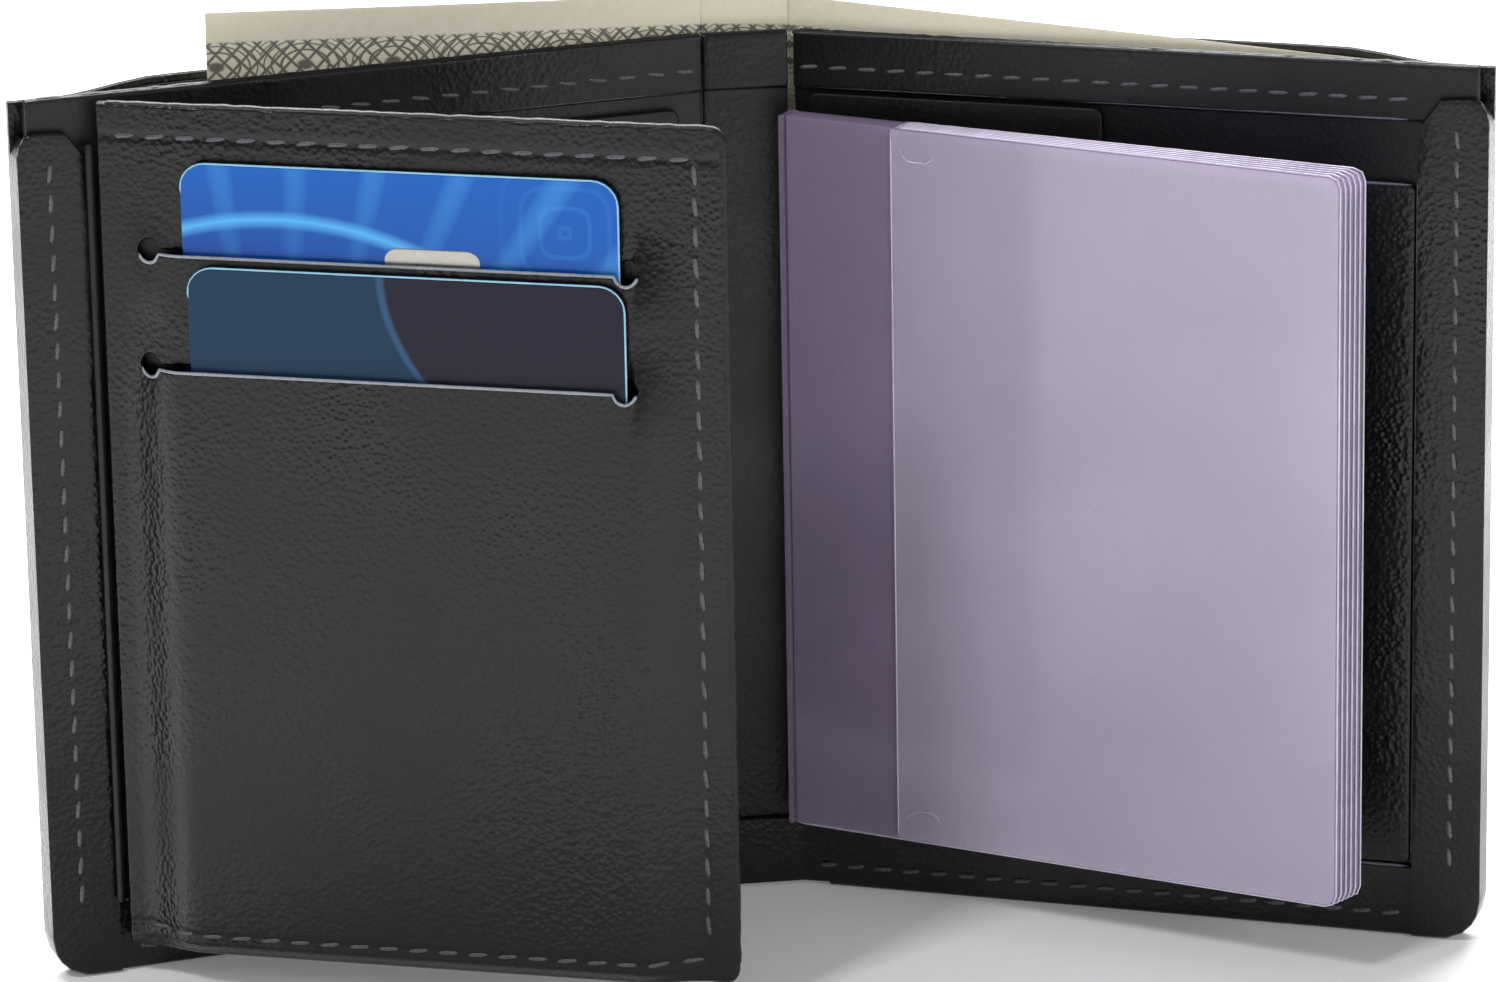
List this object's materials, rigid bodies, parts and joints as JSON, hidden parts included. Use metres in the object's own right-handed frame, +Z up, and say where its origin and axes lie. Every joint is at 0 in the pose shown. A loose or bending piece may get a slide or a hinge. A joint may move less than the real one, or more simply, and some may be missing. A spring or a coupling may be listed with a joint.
{
  "type": "trifold wallet",
  "caption": "Folding leather wallet with a bill compartment, swing-out card flap, clear page insert, cards and a banknote.",
  "frame": {"origin": "centre of the bounding box on the plane the wallet stands on", "axes": "+X to the right cover, +Y away from the inside of the V, +Z up"},
  "size_m": [0.1792, 0.0578, 0.1197],
  "materials": {
    "black_leather": "fine pebble grain, semi-gloss",
    "black_lining": "woven lining, matte",
    "grey_thread": "waxed thread",
    "clear_vinyl": "clear vinyl film, lilac tint",
    "blue_card": "gloss, printed",
    "dark_card": "gloss, printed",
    "card_contact": "contact plate, satin",
    "banknote_paper": "cotton paper, printed"
  },
  "bodies": {
    "spine": {"outer_shell_spine": "black_leather", "bill_liner_spine": "black_leather"},
    "left_cover": {"outer_shell_left": "black_leather", "shell_lining_left": "black_lining", "bill_liner_left": "black_leather", "hidden_pocket_left": "black_leather", "flap_hinge_tab": "black_leather", "side_seam_thread_left": "grey_thread", "bottom_seam_thread_left": "grey_thread", "hem_thread_left": "grey_thread"},
    "right_cover": {"outer_shell_right": "black_leather", "shell_lining_right": "black_lining", "bill_liner_right": "black_leather", "insert_sleeve_panel": "black_leather", "card_pocket_right": "black_leather", "insert_tab": "clear_vinyl", "insert_spine_film": "clear_vinyl", "side_seam_thread_right": "grey_thread", "bottom_seam_thread_right": "grey_thread", "hem_thread_right": "grey_thread"},
    "flap": {"flap_hinge_gusset": "black_leather", "flap_front": "black_leather", "flap_back": "black_leather", "upper_slot_lining": "black_lining", "lower_slot_lining": "black_lining", "flap_thread": "grey_thread", "flap_bottom_thread": "grey_thread"},
    "card_upper": {"payment_card_upper": "blue_card", "card_chip_upper": "card_contact"},
    "card_lower": {"payment_card_lower": "dark_card"},
    "page_1": {"page_1_back_film": "clear_vinyl", "page_1_front_film": "clear_vinyl"},
    "page_2": {"page_2_back_film": "clear_vinyl", "page_2_front_film": "clear_vinyl"},
    "page_3": {"page_3_back_film": "clear_vinyl", "page_3_front_film": "clear_vinyl"},
    "page_4": {"page_4_back_film": "clear_vinyl", "page_4_front_film": "clear_vinyl"},
    "page_5": {"page_5_back_film": "clear_vinyl", "page_5_front_film": "clear_vinyl"},
    "page_6": {"page_6_back_film": "clear_vinyl", "page_6_front_film": "clear_vinyl"},
    "banknote_left": {"banknote_left": "banknote_paper"},
    "banknote_centre": {"banknote_centre": "banknote_paper"},
    "banknote_right": {"banknote_right": "banknote_paper"}
  },
  "joints": [
    {"name": "spine_fold_left", "type": "hinge", "parent": "spine", "child": "left_cover", "pos_m": [-0.00558, 0.01652, 0], "axis": [0, 0, 1], "range_deg": [-11, 58], "deforming": ["outer_shell_spine"]},
    {"name": "spine_fold_right", "type": "hinge", "parent": "spine", "child": "right_cover", "pos_m": [0.00439, 0.01792, 0], "axis": [0, 0, -1], "range_deg": [-24.8, 66], "deforming": ["outer_shell_spine"]},
    {"name": "flap_swing", "type": "hinge", "parent": "left_cover", "child": "flap", "pos_m": [-0.07971, -0.00964, 0], "axis": [0, 0, 1], "range_deg": [-122, 32.6]},
    {"name": "page_1_turn", "type": "hinge", "parent": "right_cover", "child": "page_1", "pos_m": [0.00405, 0.01555, 0], "axis": [0, 0, 1], "range_deg": [-65, 0]},
    {"name": "page_2_turn", "type": "hinge", "parent": "right_cover", "child": "page_2", "pos_m": [0.00427, 0.016, 0], "axis": [0, 0, 1], "range_deg": [-55.95, 0.05]},
    {"name": "page_3_turn", "type": "hinge", "parent": "right_cover", "child": "page_3", "pos_m": [0.00449, 0.01645, 0], "axis": [0, 0, 1], "range_deg": [-46.85, 0.05]},
    {"name": "page_4_turn", "type": "hinge", "parent": "right_cover", "child": "page_4", "pos_m": [0.00471, 0.0169, 0], "axis": [0, 0, 1], "range_deg": [-36.45, 0.05]},
    {"name": "page_5_turn", "type": "hinge", "parent": "right_cover", "child": "page_5", "pos_m": [0.00493, 0.01734, 0], "axis": [0, 0, 1], "range_deg": [-26.05, 0.05]},
    {"name": "page_6_turn", "type": "hinge", "parent": "right_cover", "child": "page_6", "pos_m": [0.00515, 0.01779, 0], "axis": [0, 0, 1], "range_deg": [-14.35, 0.05]},
    {"name": "card_upper_slide", "type": "slide", "parent": "flap", "child": "card_upper", "axis": [0, 0, 1], "range_m": [0, 0.07]},
    {"name": "card_lower_slide", "type": "slide", "parent": "flap", "child": "card_lower", "axis": [0, 0, 1], "range_m": [0, 0.08]},
    {"name": "banknote_slide", "type": "slide", "parent": "left_cover", "child": "banknote_left", "axis": [0, 0, 1], "range_m": [-0.02, 0.06]},
    {"name": "banknote_centre_slide", "type": "slide", "parent": "spine", "child": "banknote_centre", "axis": [0, 0, 1], "range_m": [-0.0201, 0.0601]},
    {"name": "banknote_right_slide", "type": "slide", "parent": "right_cover", "child": "banknote_right", "axis": [0, 0, 1], "range_m": [-0.0201, 0.0601]}
  ],
  "couplings": [
    {"joint": "banknote_centre_slide", "follows": "banknote_slide", "ratio": 1},
    {"joint": "banknote_right_slide", "follows": "banknote_slide", "ratio": 1},
    {"joint": "page_2_turn", "follows": "page_1_turn", "ratio": 0.86},
    {"joint": "page_3_turn", "follows": "page_1_turn", "ratio": 0.72},
    {"joint": "page_4_turn", "follows": "page_1_turn", "ratio": 0.56},
    {"joint": "page_5_turn", "follows": "page_1_turn", "ratio": 0.4},
    {"joint": "page_6_turn", "follows": "page_1_turn", "ratio": 0.22}
  ]
}
